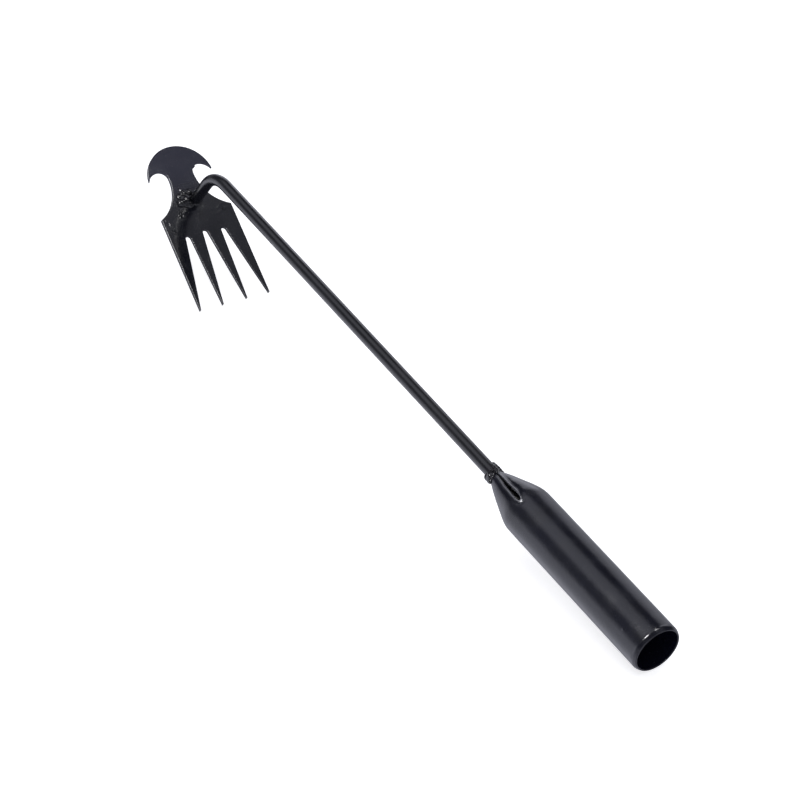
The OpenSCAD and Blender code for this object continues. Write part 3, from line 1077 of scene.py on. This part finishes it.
def enamel(name, deep, pale, rough, peel=0.06, wear_and_sheen=0.0, blade_sheen_colour=None):
    """Gloss black enamel, rubbed to steel where the mesh stores wear, which on the tube's seam lips
    is also painted highlight; only the plate has the painted lighter, bluer reflection towards the
    blade.
    """
    material = bpy.data.materials.new(name)
    material.use_nodes = True
    tree = material.node_tree
    shader = tree.nodes["Principled BSDF"]
    coords = tree.nodes.new("ShaderNodeTexCoord").outputs["Object"]
    colour = enamel_colour(tree, coords, deep, pale, blade_sheen_colour)
    gloss = enamel_gloss(tree, coords, rough, bool(blade_sheen_colour))
    # Rubbed steel, which on the tube's seam lips is also painted highlight
    if wear_and_sheen:
        nick = pattern(tree, coords, 900, 4, offset=(2, 8, 1))
        nick = math_node(tree, "MULTIPLY", nick, 1.2)
        rubbed_and_sheen = math_node(tree, "ADD", vertex_value(tree, "wear_and_sheen"), nick)
        rubbed_and_sheen = ramp(tree, rubbed_and_sheen, 1.2, 1.55, 0.0, wear_and_sheen)
        colour = blend_colour(tree, rubbed_and_sheen, colour, STEEL_AND_SHEEN)
        gloss = math_node(tree, "ADD", gloss, math_node(tree, "MULTIPLY", rubbed_and_sheen, 0.25))
        tree.links.new(rubbed_and_sheen, shader.inputs["Metallic"])
    tree.links.new(colour, shader.inputs["Base Color"])
    tree.links.new(gloss, shader.inputs["Roughness"])
    tree.links.new(enamel_relief(tree, coords, peel).outputs["Normal"], shader.inputs["Normal"])
    shader.inputs["IOR"].default_value = ENAMEL_IOR
    return material


# ---------------------------------------------------------------- stage

CAMERA_SPOT = (1.052001, -0.727838, 0.840307)
CAMERA_TURN = (57.4448, -3.0899, 56.7644)
CAMERA_LENS, SENSOR = 108.0, 36.0


def build_camera():
    """Camera at the photograph's viewing angle."""
    data = bpy.data.cameras.new("camera")
    data.lens, data.sensor_width = CAMERA_LENS, SENSOR
    data.clip_start, data.clip_end = 0.01, 50
    camera = bpy.data.objects.new("camera", data)
    camera.location = CAMERA_SPOT
    camera.rotation_euler = [math.radians(a) for a in CAMERA_TURN]
    bpy.context.scene.collection.objects.link(camera)
    bpy.context.scene.camera = camera


def heading(elevation, azimuth):
    """Unit vector towards an elevation above the horizon and an azimuth from +X to +Y."""
    e, a = math.radians(elevation), math.radians(azimuth)
    return Vector((math.cos(e) * math.cos(a), math.cos(e) * math.sin(a), math.sin(e)))


def soft_light(name, spot, aim, size, watts, gloss=True, diffuse=True):
    """Rectangular light at a spot, turned to its aim; each kind of ray can be left out."""
    data = bpy.data.lights.new(name, "AREA")
    data.shape, data.size, data.size_y = "RECTANGLE", size[0], size[1]
    data.energy = watts
    light = bpy.data.objects.new(name, data)
    light.location = spot
    light.rotation_euler = (Vector(aim) - Vector(spot)).to_track_quat("-Z", "Y").to_euler()
    light.visible_glossy, light.visible_diffuse = gloss, diffuse
    bpy.context.scene.collection.objects.link(light)


def sky_lobe(tree, direction, axis_to, inner, outer, strength):
    """A soft round panel of the studio, full inside inner degrees and gone beyond outer."""
    made = tree.nodes.new("ShaderNodeVectorMath")
    made.operation = "DOT_PRODUCT"
    tree.links.new(direction, made.inputs[0])
    made.inputs[1].default_value = axis_to
    low, high = math.cos(math.radians(outer)), math.cos(math.radians(inner))
    return ramp(tree, made.outputs["Value"], low, high, 0.0, strength)


# Studio panels: elevation, azimuth, full within, gone beyond (degrees), strength
PANELS = (
    (62, -147, 2, 31, 0.97),
    (22, 119, 10, 27, 0.80),
    (13, 146, 7, 22, 1.15),
    (25, -120, 5, 45, 0.18),
    (10, -25, 15, 42, 0.55),
    (30, 30, 8, 30, 0.50),
    (64, 60, 8, 30, 0.30),
    (-90, 0, 82, 98, 0.50),
    (-32, -130, 22, 50, 0.75),
)
SKY_BASE = 0.10


def build_sky():
    """Grey studio with soft panels and bounce from below, seen as reflections in the enamel."""
    world = bpy.data.worlds.new("studio")
    world.use_nodes = True
    tree = world.node_tree
    bpy.context.scene.world = world
    direction = tree.nodes.new("ShaderNodeTexCoord").outputs["Generated"]
    level = None
    for elevation, azimuth, inner, outer, strength in PANELS:
        lobe = sky_lobe(tree, direction, heading(elevation, azimuth), inner, outer, strength)
        level = math_node(tree, "ADD", level if level else SKY_BASE, lobe)
    background = tree.nodes["Background"]
    background.inputs["Color"].default_value = (0.965, 0.98, 1.10, 1)
    tree.links.new(level, background.inputs["Strength"])


FLOOR_HALF, FLOOR_DROP = 6.0, 0.0004
FLOOR_GLOW = 0.74


def build_floor():
    """Plain pale floor just under the tool; it glows a little and stays out of reflections."""
    corners = ((-1, -1), (1, -1), (1, 1), (-1, 1))
    mesh = bpy.data.meshes.new("floor")
    mesh.from_pydata(
        [(x * FLOOR_HALF, y * FLOOR_HALF, -FLOOR_DROP) for x, y in corners], [], [(0, 1, 2, 3)],
    )
    floor = bpy.data.objects.new("floor", mesh)
    bpy.context.scene.collection.objects.link(floor)
    material = bpy.data.materials.new("pale_floor")
    material.use_nodes = True
    shader = material.node_tree.nodes["Principled BSDF"]
    shader.inputs["Base Color"].default_value = (0.86, 0.86, 0.865, 1)
    shader.inputs["Emission Color"].default_value = (1, 1, 1, 1)
    shader.inputs["Emission Strength"].default_value = FLOOR_GLOW
    shader.inputs["Roughness"].default_value = 0.9
    shader.inputs["Specular IOR Level"].default_value = 0.1
    mesh.materials.append(material)
    floor.visible_glossy = False


# Elevation, azimuth, side in metres, watts
KEYS = ((75, 60, 0.32, 6.0), (56, -74, 0.45, 25.0))
KEY_REACH = 1.6
# Cards over the plate whose edges draw soft steps of light across it
CARD_LENGTH, CARD_WIDTH, CARD_WATTS = 0.16, 0.26, 0.0225
CARD_Y, CARD_HEIGHT = 0.23, 0.5
CARD_EDGES = (-0.118, -0.104, -0.09)


def build_lights():
    """One soft fill from above, two keys seen only as glints, and the cards."""
    soft_light("fill_top", (0.0, 0.0, 2.4), (0, 0, 0), (3.0, 3.0), 22, gloss=False)
    for i, (elevation, azimuth, side, watts) in enumerate(KEYS):
        spot = heading(elevation, azimuth) * KEY_REACH
        soft_light(f"key_{i}", spot, (0, 0, 0), (side, side), watts, diffuse=False)
    for i, edge in enumerate(CARD_EDGES):
        x = edge - CARD_LENGTH / 2
        size = (CARD_LENGTH, CARD_WIDTH)
        soft_light(f"card_{i}", (x, CARD_Y, CARD_HEIGHT), (x, CARD_Y, 0.0), size, CARD_WATTS,
                   diffuse=False)


bpy.context.scene.view_settings.view_transform = "Standard"

build_camera()
build_sky()
build_floor()
build_lights()

# The plate's third colour is painted reflection: lighter and bluer towards the blade
plate_finish = enamel(
    "plate_enamel", (0.0038, 0.0042, 0.0076), (0.0062, 0.0068, 0.0114), 0.11, 0.05,
    wear_and_sheen=0.45, blade_sheen_colour=(0.0120, 0.0130, 0.0300),
)
bar_finish = enamel("bar_enamel", (0.0036, 0.0038, 0.0062), (0.0058, 0.0061, 0.0094), 0.24, 0.14)
# The tube's wear is partly painted highlight on the seams' lips
tube_finish = enamel(
    "tube_enamel", (0.0030, 0.0036, 0.0092), (0.0058, 0.0066, 0.0145), 0.20, 0.16, wear_and_sheen=0.75,
)
weld_finish = enamel("weld_enamel", (0.0034, 0.0036, 0.0050), (0.0056, 0.0060, 0.0085), 0.12, 0.03)

stand_for(build_plate(), "head_plate", plate_finish)
stand_for(build_bar(), "shank", bar_finish)
stand_for(build_tube(), "socket_tube", tube_finish)
stand_for(build_head_bead(), "head_weld_bead", weld_finish)
stand_for(build_fillet(), "head_weld_fillet", weld_finish)
stand_for(build_neck_upper(), "neck_weld_upper", weld_finish)
stand_for(build_neck_lower(), "neck_weld_lower", weld_finish)
stand_for(build_spatter(), "weld_spatter", weld_finish)
